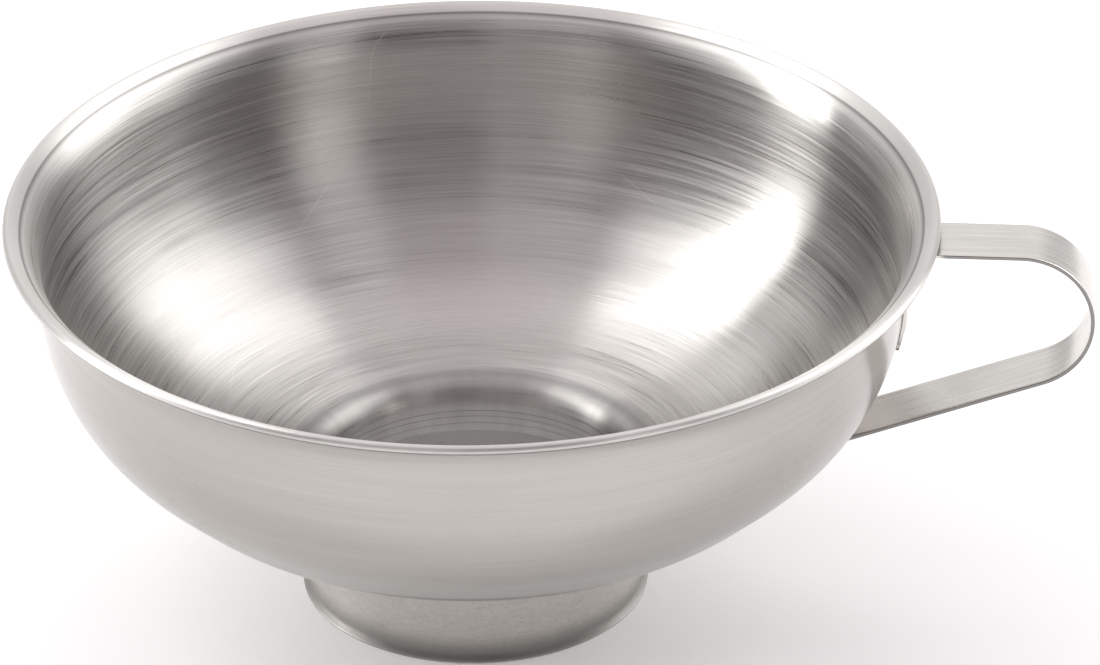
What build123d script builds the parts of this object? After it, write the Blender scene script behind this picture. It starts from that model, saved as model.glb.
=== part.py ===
from build123d import *
import math
import os

# Canning funnel in spun and welded sheet steel, millimetres.
# The origin is on the funnel's axis, in the plane of the spout's lower edge.
# +Z runs up through the bowl, and the handle stands out along +X.

# Sheet and overall sizes
SHEET = 0.6
RIM_DIAMETER = 140.0
OVERALL_HEIGHT = 63.1

# Lip: the wall flares outward and its edge is folded flat underneath
FOLD_RADIUS = 0.4
FLARE_RADIUS = 7.5
FLARE_EDGE_SLOPE = 25.0
HEM_LENGTH = 1.4

# Bowl wall from the flare down, slopes measured from level
WALL_SLOPE = 88.0
WALL_LENGTH = 4.8
SHOULDER_RADIUS = 28.9
CONE_SLOPE = 43.2
CONE_LENGTH = 5.5
BOTTOM_RADIUS = 29.7
FLOOR_SLOPE = 8.0
THROAT_RADIUS = 3.6
COLLAR_LENGTH = 4.0

# Spout sleeve, brazed over the bowl's collar
SPOUT_DIAMETER = 51.4
SPOUT_FLARE_RADIUS = 1.5
SPOUT_FLARE_ANGLE = 60.0

# Braze bead in the groove between the sleeve's top edge and the bowl's underside
BRAZE_RADIUS = 0.9
BRAZE_LIFT = 0.45

# Handle strap
STRAP_WIDTH = 10.3
STRAP_THICKNESS = 0.6
HANDLE_OVERHANG = 23.4
LOOP_RADIUS = 10.85
LIP_TO_STRAP_GAP = 0.35
UPPER_TAB_END_SLOPE = 72.0
LOWER_CONTACT_SLOPE = 40.0
LOWER_TAB_END_SLOPE = 20.0
LOWER_BEND_RADIUS = 5.0
TAB_CORNER_RADIUS = 2.5

# Spot welds, two in each tab
NUGGET_DIAMETER = 3.0
DIMPLE_DEPTH = 0.12
UPPER_WELD_SLOPES = (86.0, 77.0)
LOWER_WELD_SLOPES = (36.0, 25.0)
DIMPLE_BALL_RADIUS = 7.0

HALF_SHEET = SHEET / 2
HALF_STRAP = STRAP_THICKNESS / 2
TAB_OFFSET = HALF_SHEET + HALF_STRAP
FOLD_OUTSIDE = FOLD_RADIUS + HALF_SHEET
COLLAR_MIDDLE = SPOUT_DIAMETER / 2 - SHEET - HALF_SHEET


def below(slope):
    """Unit direction square to a line of this slope, pointing outward and down."""
    angle = math.radians(slope)
    return Vector(math.sin(angle), -math.cos(angle))


def outward(slope):
    """Unit direction along a line of this slope, pointing outward and up."""
    angle = math.radians(slope)
    return Vector(math.cos(angle), math.sin(angle))


# Centres and joints of the bowl's middle line, from the lip down to the collar
FOLD_CENTRE = Vector(RIM_DIAMETER / 2 - FOLD_OUTSIDE, OVERALL_HEIGHT - FOLD_OUTSIDE)
FLARE_TOP = FOLD_CENTRE - below(FLARE_EDGE_SLOPE) * FOLD_RADIUS
FLARE_CENTRE = FLARE_TOP + below(FLARE_EDGE_SLOPE) * FLARE_RADIUS
WALL_TOP = FLARE_CENTRE - below(WALL_SLOPE) * FLARE_RADIUS
WALL_FOOT = WALL_TOP - outward(WALL_SLOPE) * WALL_LENGTH
SHOULDER_CENTRE = WALL_FOOT - below(WALL_SLOPE) * SHOULDER_RADIUS
CONE_TOP = SHOULDER_CENTRE + below(CONE_SLOPE) * SHOULDER_RADIUS
CONE_FOOT = CONE_TOP - outward(CONE_SLOPE) * CONE_LENGTH
BOTTOM_CENTRE = CONE_FOOT - below(CONE_SLOPE) * BOTTOM_RADIUS
FLOOR_EDGE = BOTTOM_CENTRE + below(FLOOR_SLOPE) * BOTTOM_RADIUS
THROAT_CENTRE_X = COLLAR_MIDDLE + THROAT_RADIUS
THROAT_TOP_X = THROAT_CENTRE_X - below(FLOOR_SLOPE).X * THROAT_RADIUS
FLOOR_RUN = (FLOOR_EDGE.X - THROAT_TOP_X) / outward(FLOOR_SLOPE).X
THROAT_TOP = FLOOR_EDGE - outward(FLOOR_SLOPE) * FLOOR_RUN
THROAT_CENTRE = THROAT_TOP + below(FLOOR_SLOPE) * THROAT_RADIUS
COLLAR_TOP = Vector(COLLAR_MIDDLE, THROAT_CENTRE.Y)

HEM_START = FOLD_CENTRE + below(FLARE_EDGE_SLOPE) * FOLD_RADIUS
HEM_END = HEM_START - outward(FLARE_EDGE_SLOPE) * HEM_LENGTH

# Spout sleeve: its top edge meets the underside of the bowl's throat
SLEEVE_MIDDLE = SPOUT_DIAMETER / 2 - HALF_SHEET
SPOUT_FLARE_RISE = SPOUT_FLARE_RADIUS * math.sin(math.radians(SPOUT_FLARE_ANGLE))
SPOUT_FLARE_TOP = Vector(SLEEVE_MIDDLE, HALF_SHEET + SPOUT_FLARE_RISE)
SPOUT_FLARE_CENTRE = SPOUT_FLARE_TOP + Vector(SPOUT_FLARE_RADIUS, 0)

# Handle: its upper tab follows the wall and its lower tab the bowl's bottom
HANDLE_REACH = RIM_DIAMETER / 2 + HANDLE_OVERHANG
ARM_HEIGHT = HEM_END.Y - HALF_SHEET - LIP_TO_STRAP_GAP - HALF_STRAP
UPPER_BEND_FOOT = WALL_TOP + below(WALL_SLOPE) * TAB_OFFSET
UPPER_BEND_RADIUS = (ARM_HEIGHT - UPPER_BEND_FOOT.Y) / (1 + below(WALL_SLOPE).Y)
UPPER_BEND_CENTRE = UPPER_BEND_FOOT + below(WALL_SLOPE) * UPPER_BEND_RADIUS
LOOP_CENTRE = Vector(HANDLE_REACH - HALF_STRAP - LOOP_RADIUS, ARM_HEIGHT - LOOP_RADIUS)
LOWER_TAB_RADIUS = BOTTOM_RADIUS + TAB_OFFSET
LOWER_BEND_SPAN = LOWER_TAB_RADIUS + LOWER_BEND_RADIUS
LOWER_BEND_CENTRE = BOTTOM_CENTRE + below(LOWER_CONTACT_SLOPE) * LOWER_BEND_SPAN
LOOP_FROM_BEND = LOOP_CENTRE - LOWER_BEND_CENTRE
LOWER_ARM_SLOPE = math.degrees(
    math.atan2(LOOP_FROM_BEND.Y, LOOP_FROM_BEND.X)
    - math.asin((LOOP_RADIUS + LOWER_BEND_RADIUS) / LOOP_FROM_BEND.length)
)


def inner_arc(centre, radius, start_slope, end_slope):
    """Part of a middle line that curves round a centre on its upper side."""
    return CenterArc(centre, radius, start_slope - 90, end_slope - start_slope)


def outer_arc(centre, radius, start_slope, end_slope):
    """Part of a middle line that curves round a centre on its lower side."""
    return CenterArc(centre, radius, start_slope + 90, end_slope - start_slope)


def bowl_line():
    """Middle line of the bowl sheet, from the collar's foot to the hem's end."""
    return [
        Line(COLLAR_TOP - Vector(0, COLLAR_LENGTH), COLLAR_TOP),
        outer_arc(THROAT_CENTRE, THROAT_RADIUS, 90, FLOOR_SLOPE),
        Line(THROAT_TOP, FLOOR_EDGE),
        inner_arc(BOTTOM_CENTRE, BOTTOM_RADIUS, FLOOR_SLOPE, CONE_SLOPE),
        Line(CONE_FOOT, CONE_TOP),
        inner_arc(SHOULDER_CENTRE, SHOULDER_RADIUS, CONE_SLOPE, WALL_SLOPE),
        Line(WALL_FOOT, WALL_TOP),
        outer_arc(FLARE_CENTRE, FLARE_RADIUS, WALL_SLOPE, FLARE_EDGE_SLOPE),
        CenterArc(FOLD_CENTRE, FOLD_RADIUS, FLARE_EDGE_SLOPE + 90, -180),
        Line(HEM_START, HEM_END),
    ]


def spout_line():
    """Middle line of the spout sleeve, from its flared foot to its top edge."""
    return [
        CenterArc(SPOUT_FLARE_CENTRE, SPOUT_FLARE_RADIUS, 180 + SPOUT_FLARE_ANGLE, -SPOUT_FLARE_ANGLE),
        Line(SPOUT_FLARE_TOP, (SLEEVE_MIDDLE, COLLAR_TOP.Y - HALF_SHEET)),
    ]


def strap_line():
    """Middle line of the handle strap, from the upper tab's end round to the lower."""
    upper_tab_radius = SHOULDER_RADIUS + TAB_OFFSET
    arm_start = UPPER_BEND_CENTRE + Vector(0, UPPER_BEND_RADIUS)
    loop_end = LOOP_CENTRE + below(LOWER_ARM_SLOPE) * LOOP_RADIUS
    lower_bend_start = LOWER_BEND_CENTRE - below(LOWER_ARM_SLOPE) * LOWER_BEND_RADIUS
    return [
        inner_arc(SHOULDER_CENTRE, upper_tab_radius, UPPER_TAB_END_SLOPE, WALL_SLOPE),
        Line(WALL_FOOT + below(WALL_SLOPE) * TAB_OFFSET, UPPER_BEND_FOOT),
        outer_arc(UPPER_BEND_CENTRE, UPPER_BEND_RADIUS, WALL_SLOPE, 0),
        Line(arm_start, LOOP_CENTRE + Vector(0, LOOP_RADIUS)),
        CenterArc(LOOP_CENTRE, LOOP_RADIUS, 90, LOWER_ARM_SLOPE - 180),
        Line(loop_end, lower_bend_start),
        outer_arc(LOWER_BEND_CENTRE, LOWER_BEND_RADIUS, LOWER_ARM_SLOPE, LOWER_CONTACT_SLOPE),
        inner_arc(BOTTOM_CENTRE, LOWER_TAB_RADIUS, LOWER_CONTACT_SLOPE, LOWER_TAB_END_SLOPE),
    ]


def turned(edges):
    """Sheet steel turned about the funnel's axis, its two edges rounded over."""
    section = Plane.XZ * make_face(offset(Wire(edges), amount=HALF_SHEET))
    return revolve(section, axis=Axis.Z)


def braze_ring(bowl, spout):
    """Bead of brazing metal lying against both sheets all the way round."""
    height = COLLAR_TOP.Y + BRAZE_LIFT
    return Pos(0, 0, height) * Torus(SPOUT_DIAMETER / 2, BRAZE_RADIUS) - bowl - spout


def is_tab_corner(edge):
    """True for the short edges at the four corners of the strip."""
    at_side = abs(abs(edge.center().Y) - STRAP_WIDTH / 2) < HALF_STRAP
    return at_side and edge.length < 2 * STRAP_THICKNESS


def strap_blank():
    """The bent strip, its tabs formed to the bowl's curve, before welding."""
    arc = 4 * math.degrees(math.asin(STRAP_WIDTH / LOWER_BEND_CENTRE.X))
    section = Plane.XZ * trace(strap_line(), line_width=STRAP_THICKNESS)
    strip = revolve(Rot(0, 0, -arc / 2) * section, axis=Axis.Z, revolution_arc=arc)
    strip = strip & Box(2 * HANDLE_REACH, STRAP_WIDTH, 2 * OVERALL_HEIGHT)
    return fillet(strip.edges().filter_by(is_tab_corner), TAB_CORNER_RADIUS)


def weld_plane(centre, radius, slope):
    """Plane on a tab's middle, facing out of the bowl at a given wall slope."""
    spot = centre + below(slope) * radius
    facing = below(slope)
    return Plane(origin=(spot.X, 0, spot.Y), z_dir=(facing.X, 0, facing.Y))


def weld_planes(centre, radius, slopes):
    """Planes of the two spot welds in one tab."""
    return [weld_plane(centre, radius, slope) for slope in slopes]


def nuggets(strap, planes):
    """Spot welds filling the strap's thickness, each with its electrode dimple."""
    core = Cylinder(NUGGET_DIAMETER / 2, 2 * NUGGET_DIAMETER)
    lift = HALF_STRAP - DIMPLE_DEPTH + DIMPLE_BALL_RADIUS
    dimple = Pos(0, 0, lift) * Sphere(DIMPLE_BALL_RADIUS)
    return [(strap & (plane * core)) - (plane * dimple) for plane in planes]


def strap_with_holes(strap, planes):
    """The strap with a round seat for each weld nugget."""
    core = Cylinder(NUGGET_DIAMETER / 2, 2 * NUGGET_DIAMETER)
    return strap - [plane * core for plane in planes]


def write(name, shape):
    """Saves one named piece as a STEP file."""
    export_step(shape, os.path.join("parts", name + ".step"))


os.makedirs("parts", exist_ok=True)
UPPER_WELD_PLANES = weld_planes(SHOULDER_CENTRE, SHOULDER_RADIUS + TAB_OFFSET, UPPER_WELD_SLOPES)
LOWER_WELD_PLANES = weld_planes(BOTTOM_CENTRE, LOWER_TAB_RADIUS, LOWER_WELD_SLOPES)
BOWL = turned(bowl_line())
SPOUT = turned(spout_line())
BLANK = strap_blank()
write("bowl", BOWL)
write("spout", SPOUT)
write("braze_ring", braze_ring(BOWL, SPOUT))
write("handle_strap", strap_with_holes(BLANK, UPPER_WELD_PLANES + LOWER_WELD_PLANES))
write("upper_spot_welds", Compound(children=nuggets(BLANK, UPPER_WELD_PLANES)))
write("lower_spot_welds", Compound(children=nuggets(BLANK, LOWER_WELD_PLANES)))
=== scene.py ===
"""Canning funnel in turned sheet steel with a bent strap handle.

The file is laid out as an add-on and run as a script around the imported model.
Every operator makes one piece of the funnel, or the studio it stands in.
Lengths are metres, +Z runs up the funnel's axis and +X out along the handle.
"""

import math

import bmesh
import bpy
from mathutils import Matrix, Vector


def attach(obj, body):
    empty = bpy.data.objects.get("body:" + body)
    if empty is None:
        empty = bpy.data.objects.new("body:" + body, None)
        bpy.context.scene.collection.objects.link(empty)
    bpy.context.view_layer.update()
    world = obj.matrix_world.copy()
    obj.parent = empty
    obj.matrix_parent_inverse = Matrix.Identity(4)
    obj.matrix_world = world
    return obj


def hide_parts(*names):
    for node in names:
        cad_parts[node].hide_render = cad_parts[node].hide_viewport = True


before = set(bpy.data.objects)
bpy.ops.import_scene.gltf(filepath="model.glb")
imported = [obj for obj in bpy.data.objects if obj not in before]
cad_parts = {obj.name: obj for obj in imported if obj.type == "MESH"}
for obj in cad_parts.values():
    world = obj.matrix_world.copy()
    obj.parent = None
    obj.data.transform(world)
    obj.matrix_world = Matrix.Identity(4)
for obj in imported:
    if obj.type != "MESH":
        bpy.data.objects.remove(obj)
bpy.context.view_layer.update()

bl_info = {
    "name": "Canning Funnel",
    "version": (1, 0, 0),
    "blender": (4, 5, 0),
    "location": "View3D > Sidebar > Funnel",
    "description": "Makes a steel canning funnel, piece by piece, and a studio for it",
    "category": "Object",
}

UPPER_WELD_SLOPES = (86.0, 77.0)
LOWER_WELD_SLOPES = (36.0, 25.0)
MM = 0.001
TINY = 1e-6
SHARP_DEGREES = 40.0
LUMPS_PER_METRE = 420.0
BRAZE_UNEVENNESS = 0.00012
INSIDE_ROTATION = 0.25
TURN_SEGMENTS = 384
STEEL_IOR = 2.5

# Where a finish, a painted shade or a painted highlight changes: each pair goes from the place it starts
# to the place it is full
LIP_RADII = (0.0662, 0.0672)
THROAT_RADII = (0.0305, 0.0282)
HEM_RADII = (0.0668, 0.0676)
HEM_UNDER_HEIGHTS = (0.06228, 0.06204)
SPOUT_INSIDE_RADII = (0.02545, 0.0253)
FOOT_HEIGHTS = (0.005, 0.0012)
FOOT_EDGE_HEIGHTS = (0.0009, 0.0002)
SIDE_SHADE_WIDTHS = (0.00506, 0.00513)
UPPER_TAB_HEIGHTS = (0.044, 0.048)
UPPER_TAB_RADII = (0.0712, 0.0698)

# Stray arcs inside the bowl: centre x and y, radius and width
STRAY_SCRATCHES = (
    (0.012, 0.004, 0.047, 0.00009),
    (-0.009, 0.014, 0.052, 0.00007),
    (0.004, -0.011, 0.041, 0.00008),
    (-0.015, -0.006, 0.038, 0.00006),
    (0.021, 0.018, 0.060, 0.00008),
)

# Lines turned in the collar under the throat: height and half width
COLLAR_LINES = ((0.0146, 0.00012), (0.0136, 0.0001), (0.0124, 0.0001))

# Softboxes: name, azimuth and elevation in degrees, distance, size and power
LAMPS = (
    ("Right Softbox", 30.0, 35.0, 1.3, (0.60, 1.4), 3.4),
    ("Left Softbox", 174.0, 38.0, 1.3, (0.24, 1.5), 5.5),
    ("Top Softbox", 90.0, 86.0, 1.8, (1.6, 1.6), 2.5),
)

# Brightness of the studio's walls all round, each with the sine of its elevation
WALL_TONES = ((0.0, 0.03), (0.25, 0.04), (0.6, 0.09), (0.85, 0.30), (1.0, 0.75))
WALL_TINT = (1.0, 0.90, 0.93)

# Paler panels: azimuth, half width and softness in degrees, lowest and highest sine of elevation, tone
WALL_PANELS = (
    (94.0, 62.0, 16.0, -0.1, 0.62, 0.62),
    (94.0, 36.0, 24.0, 0.62, 0.95, 0.9),
    (94.0, 16.0, 10.0, -0.1, 0.60, 0.34),
    (180.0, 8.5, 3.0, -0.1, 0.95, 3.8),
    (142.0, 10.0, 10.0, 0.5, 0.76, 0.7),
    (22.0, 18.0, 14.0, 0.12, 0.90, 1.4),
    (316.0, 7.0, 6.0, 0.1, 0.8, 0.55),
    (254.0, 12.0, 8.0, 0.1, 0.8, 0.28),
)


def length(name, description, default):
    """A property that holds a length."""
    return bpy.props.FloatProperty(
        name=name, description=description, default=default, unit="LENGTH", precision=5
    )


def angle(name, description, degrees):
    """A property that holds an angle, given here in degrees."""
    return bpy.props.FloatProperty(
        name=name, description=description, default=math.radians(degrees), subtype="ANGLE"
    )


def share(name, description, default):
    """A property between nothing and all."""
    return bpy.props.FloatProperty(
        name=name, description=description, default=default, min=0.0, max=1.0, subtype="FACTOR"
    )


def colour(name, description, default):
    """A property that holds a colour."""
    return bpy.props.FloatVectorProperty(
        name=name, description=description, default=default, size=3, subtype="COLOR", min=0.0, max=1.0
    )


class FunnelSizes(bpy.types.PropertyGroup):
    """Sizes of the steel pieces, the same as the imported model's."""

    sheet: length("Sheet", "Thickness of the bowl's and the spout's sheet", 0.6 * MM)
    rim_diameter: length("Rim Diameter", "Outside diameter of the lip", 140.0 * MM)
    height: length("Height", "Height of the lip above the spout's foot", 63.1 * MM)
    fold_radius: length("Fold Radius", "Middle radius of the folded edge", 0.4 * MM)
    flare_radius: length("Flare Radius", "Middle radius of the outward flare", 7.5 * MM)
    flare_slope: angle("Flare Slope", "Slope of the lip where it folds", 25.0)
    hem_length: length("Hem Length", "Straight length folded under the lip", 1.4 * MM)
    wall_slope: angle("Wall Slope", "Slope of the upright wall", 88.0)
    wall_length: length("Wall Length", "Length of the upright wall", 4.8 * MM)
    shoulder_radius: length("Shoulder Radius", "Middle radius of the shoulder", 28.9 * MM)
    cone_slope: angle("Cone Slope", "Slope of the conical flank", 43.2)
    cone_length: length("Cone Length", "Length of the conical flank", 5.5 * MM)
    bottom_radius: length("Bottom Radius", "Middle radius of the bottom curve", 29.7 * MM)
    floor_slope: angle("Floor Slope", "Slope of the floor round the throat", 8.0)
    throat_radius: length("Throat Radius", "Middle radius of the throat's edge", 3.6 * MM)
    collar_length: length("Collar Length", "Length of the collar inside the spout", 4.0 * MM)
    spout_diameter: length("Spout Diameter", "Outside diameter of the spout", 51.4 * MM)
    spout_flare_radius: length("Foot Flare Radius", "Radius of the spout's flared foot", 1.5 * MM)
    spout_flare_angle: angle("Foot Flare Angle", "Turn of the spout's flared foot", 60.0)
    braze_radius: length("Braze Radius", "Radius of the braze bead", 0.9 * MM)
    braze_lift: length("Braze Lift", "Height of the bead over the collar's top", 0.45 * MM)
    strap_width: length("Strap Width", "Width of the handle strap", 10.3 * MM)
    strap_thickness: length("Strap Thickness", "Thickness of the handle strap", 0.6 * MM)
    overhang: length("Overhang", "How far the handle reaches beyond the lip", 23.4 * MM)
    loop_radius: length("Loop Radius", "Middle radius of the handle's loop", 10.85 * MM)
    strap_gap: length("Strap Gap", "Gap between the hem and the strap", 0.35 * MM)
    upper_tab_end: angle("Upper Tab End", "Wall slope where the upper tab ends", 72.0)
    lower_contact: angle("Lower Contact", "Wall slope where the lower tab begins", 40.0)
    lower_tab_end: angle("Lower Tab End", "Wall slope where the lower tab ends", 20.0)
    lower_bend_radius: length("Lower Bend Radius", "Radius of the lower tab's bend", 5.0 * MM)
    corner_radius: length("Corner Radius", "Radius of the strap's four corners", 2.5 * MM)
    nugget_diameter: length("Weld Diameter", "Diameter of a spot weld", 3.0 * MM)
    dimple_depth: length("Dimple Depth", "Depth of the electrode's mark", 0.12 * MM)


class FunnelFinish(bpy.types.PropertyGroup):
    """Colours and finishes of the steel."""

    bright_steel: colour("Bright Steel", "Light tone of the brushed steel", (0.745, 0.725, 0.70))
    dark_steel: colour("Dark Steel", "Dark tone between the brush lines", (0.42, 0.405, 0.39))
    outside_steel: colour("Outside Steel", "Tone of the satin outside", (0.475, 0.452, 0.428))
    spout_steel: colour("Spout Steel", "Tone of the grained spout", (0.62, 0.592, 0.565))
    strap_steel: colour("Strap Steel", "Tone of the rolled strap", (0.72, 0.695, 0.665))
    weld_steel: colour("Weld Steel", "Tone of the spot welds", (0.50, 0.48, 0.45))
    tint: colour("Heat Tint", "Colour that welding heat leaves", (0.46, 0.36, 0.24))
    inside_roughness: share("Inside Roughness", "Roughness of the brushed inside", 0.32)
    outside_roughness: share("Outside Roughness", "Roughness of the satin outside", 0.22)
    spout_roughness: share("Spout Roughness", "Roughness of the grained spout", 0.40)
    strap_roughness: share("Strap Roughness", "Roughness of the rolled strap", 0.26)
    turned_stretch: share("Turned Stretch", "How far brush lines draw highlights out", 1.0)


class FunnelStudio(bpy.types.PropertyGroup):
    """Camera, floor and lights."""

    distance: length("Camera Distance", "Distance of the camera from its aim", 1.1)
    elevation: angle("Camera Elevation", "Height of the camera above the horizon", 29.49)
    azimuth: angle("Camera Azimuth", "Turn of the camera towards the handle", 4.15)
    roll: angle("Camera Roll", "Roll of the camera", -0.33)
    lens: bpy.props.FloatProperty(name="Lens", description="Focal length in millimetres", default=241.1)
    aim: bpy.props.FloatVectorProperty(
        name="Camera Aim", description="Point the camera looks at", unit="LENGTH", precision=5,
        default=(12.16 * MM, -7.46 * MM, 46.97 * MM),
    )
    floor_tone: colour("Floor", "Tone of the floor", (0.93, 0.93, 0.93))
    floor_glow: share("Floor Glow", "Light the floor gives out itself", 0.24)
    floor_width: length("Floor Width", "Width of the floor", 8.0)


def below(slope):
    """Unit direction square to a line of this slope, pointing outward and down."""
    return Vector((math.sin(slope), -math.cos(slope)))


def outward(slope):
    """Unit direction along a line of this slope, pointing outward and up."""
    return Vector((math.cos(slope), math.sin(slope)))


class MiddleLine:
    """Middle line of a sheet in the XZ plane: points, each with the way to one face."""

    def __init__(self, turn_step=math.radians(4.0)):
        self.stations = []
        self.turn_step = turn_step

    def run(self, start, end, slope, pitch=None):
        """A straight stretch, divided only where a pitch is given."""
        steps = max(1, math.ceil((end - start).length / pitch)) if pitch else 1
        for i in range(steps + 1):
            self.add(start.lerp(end, i / steps), below(slope))

    def arc(self, centre, radius, start, end):
        """Curve round a centre; a negative radius has its centre on the lower side."""
        steps = max(2, math.ceil(abs(end - start) / self.turn_step))
        self.arc_at(centre, radius, [start + (end - start) * i / steps for i in range(steps + 1)])

    def arc_at(self, centre, radius, slopes):
        """Curve round a centre, with a station at each of these slopes."""
        for slope in slopes:
            self.add(centre + below(slope) * radius, below(slope))

    def add(self, point, face):
        """Adds a station, unless it falls on the last one."""
        if not self.stations or (point - self.stations[-1][0]).length > TINY:
            self.stations.append((point, face))

    def outline(self, half):
        """Closed outline of the sheet and, for each point, 1 on the second face."""
        first, last = self.stations[0], self.stations[-1]
        front = [p + n * half for p, n in self.stations]
        back = [p - n * half for p, n in reversed(self.stations)]
        points = front + self.round_end(last, half, -1) + back + self.round_end(first, half, 1)
        marks = [0.0] * len(front) + [1.0] * (len(points) - len(front))
        return points, marks

    def round_end(self, station, half, turn):
        """Points that round off one edge of the sheet."""
        point, face = station
        other = self.stations[1] if turn > 0 else self.stations[-2]
        away = (point - other[0]).normalized()
        steps = 4
        ring = []
        for i in range(1, steps):
            swing = math.pi * i / steps
            ring.append(point - face * turn * math.cos(swing) * half + away * math.sin(swing) * half)
        return ring


class FunnelShape:
    """Centres, joints and middle lines, worked out from the sizes."""

    def __init__(self, sizes):
        s = self.sizes = sizes
        self.half = s.sheet / 2
        fold_outside = s.fold_radius + self.half
        self.fold_centre = Vector((s.rim_diameter / 2 - fold_outside, s.height - fold_outside))
        flare_top = self.fold_centre - below(s.flare_slope) * s.fold_radius
        self.flare_centre = flare_top + below(s.flare_slope) * s.flare_radius
        self.wall_top = self.flare_centre - below(s.wall_slope) * s.flare_radius
        self.wall_foot = self.wall_top - outward(s.wall_slope) * s.wall_length
        self.shoulder_centre = self.wall_foot - below(s.wall_slope) * s.shoulder_radius
        self.cone_top = self.shoulder_centre + below(s.cone_slope) * s.shoulder_radius
        self.cone_foot = self.cone_top - outward(s.cone_slope) * s.cone_length
        self.bottom_centre = self.cone_foot - below(s.cone_slope) * s.bottom_radius
        self.floor_edge = self.bottom_centre + below(s.floor_slope) * s.bottom_radius
        self.collar_middle = s.spout_diameter / 2 - s.sheet - self.half
        throat_x = self.collar_middle + s.throat_radius
        throat_top_x = throat_x - below(s.floor_slope).x * s.throat_radius
        floor_run = (self.floor_edge.x - throat_top_x) / outward(s.floor_slope).x
        self.throat_top = self.floor_edge - outward(s.floor_slope) * floor_run
        self.throat_centre = self.throat_top + below(s.floor_slope) * s.throat_radius
        self.collar_top = Vector((self.collar_middle, self.throat_centre.y))
        self.hem_start = self.fold_centre + below(s.flare_slope) * s.fold_radius
        self.hem_end = self.hem_start - outward(s.flare_slope) * s.hem_length
        self.place_handle()

    def place_handle(self):
        """Finds the strap's bends, arms and loop from the bowl and the sizes."""
        s = self.sizes
        half_strap = s.strap_thickness / 2
        self.tab_offset = self.half + half_strap
        self.arm_height = self.hem_end.y - self.half - s.strap_gap - half_strap
        self.upper_foot = self.wall_top + below(s.wall_slope) * self.tab_offset
        rise = self.arm_height - self.upper_foot.y
        self.upper_radius = rise / (1 + below(s.wall_slope).y)
        self.upper_centre = self.upper_foot + below(s.wall_slope) * self.upper_radius
        loop_x = s.rim_diameter / 2 + s.overhang - half_strap - s.loop_radius
        self.loop_centre = Vector((loop_x, self.arm_height - s.loop_radius))
        self.lower_radius = s.bottom_radius + self.tab_offset
        span = self.lower_radius + s.lower_bend_radius
        self.lower_centre = self.bottom_centre + below(s.lower_contact) * span
        gap = self.loop_centre - self.lower_centre
        lean = math.asin((s.loop_radius + s.lower_bend_radius) / gap.length)
        self.arm_slope = math.atan2(gap.y, gap.x) - lean

    def bowl_line(self):
        """From the collar's foot up to the end of the hem."""
        s = self.sizes
        line = MiddleLine()
        foot = self.collar_top - Vector((0.0, s.collar_length))
        line.run(foot, self.collar_top, math.radians(90.0), pitch=0.5 * MM)
        line.arc(self.throat_centre, -s.throat_radius, math.radians(90.0), s.floor_slope)
        line.run(self.throat_top, self.floor_edge, s.floor_slope, pitch=2.0 * MM)
        line.turn_step = math.radians(1.8)
        line.arc(self.bottom_centre, s.bottom_radius, s.floor_slope, s.cone_slope)
        line.run(self.cone_foot, self.cone_top, s.cone_slope, pitch=1.5 * MM)
        line.arc(self.shoulder_centre, s.shoulder_radius, s.cone_slope, s.wall_slope)
        line.run(self.wall_foot, self.wall_top, s.wall_slope, pitch=1.5 * MM)
        line.turn_step = math.radians(4.0)
        line.arc(self.flare_centre, -s.flare_radius, s.wall_slope, s.flare_slope)
        line.turn_step = math.radians(18.0)
        line.arc(self.fold_centre, -s.fold_radius, s.flare_slope, s.flare_slope - math.pi)
        line.run(self.hem_start, self.hem_end, s.flare_slope - math.pi)
        return line

    def spout_line(self):
        """From the flared foot up to the joint with the bowl."""
        s = self.sizes
        line = MiddleLine(turn_step=math.radians(10.0))
        middle = s.spout_diameter / 2 - self.half
        rise = s.spout_flare_radius * math.sin(s.spout_flare_angle)
        top = Vector((middle, self.half + rise))
        centre = top + Vector((s.spout_flare_radius, 0.0))
        upright = math.radians(90.0)
        line.arc(centre, -s.spout_flare_radius, upright + s.spout_flare_angle, upright)
        line.run(top, Vector((middle, self.collar_top.y - self.half)), upright, pitch=1.0 * MM)
        return line

    def strap_line(self):
        """From the end of the upper tab round the loop to the end of the lower tab."""
        s = self.sizes
        line = MiddleLine()
        upper_radius = s.shoulder_radius + self.tab_offset
        slopes = self.tab_slopes(s.upper_tab_end, s.wall_slope, upper_radius)
        line.arc_at(self.shoulder_centre, upper_radius, slopes)
        offset = below(s.wall_slope) * self.tab_offset
        line.run(self.wall_foot + offset, self.upper_foot, s.wall_slope, pitch=0.3 * MM)
        line.arc(self.upper_centre, -self.upper_radius, s.wall_slope, 0.0)
        arm_start = self.upper_centre + Vector((0.0, self.upper_radius))
        line.run(arm_start, self.loop_centre + Vector((0.0, s.loop_radius)), 0.0, pitch=1.2 * MM)
        back = self.arm_slope - math.pi
        line.arc(self.loop_centre, -s.loop_radius, 0.0, back)
        loop_end = self.loop_centre + below(self.arm_slope) * s.loop_radius
        bend_start = self.lower_centre - below(self.arm_slope) * s.lower_bend_radius
        line.run(loop_end, bend_start, back, pitch=1.2 * MM)
        line.arc(self.lower_centre, s.lower_bend_radius, back, s.lower_contact - math.pi)
        slopes = self.tab_slopes(s.lower_tab_end, s.lower_contact, self.lower_radius)
        line.arc_at(self.bottom_centre, -self.lower_radius, [v - math.pi for v in reversed(slopes)])
        return line

    def tab_slopes(self, end, contact, radius):
        """Slopes along a tab from its end, closer together round the corners."""
        corner = self.sizes.corner_radius
        slopes = [end + corner * (1 - math.cos(math.radians(t))) / radius for t in range(0, 90, 9)]
        steps = math.ceil((contact - slopes[-1]) / math.radians(0.55))
        return slopes + [slopes[-1] + (contact - slopes[-1]) * i / steps for i in range(1, steps + 1)]

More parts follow.
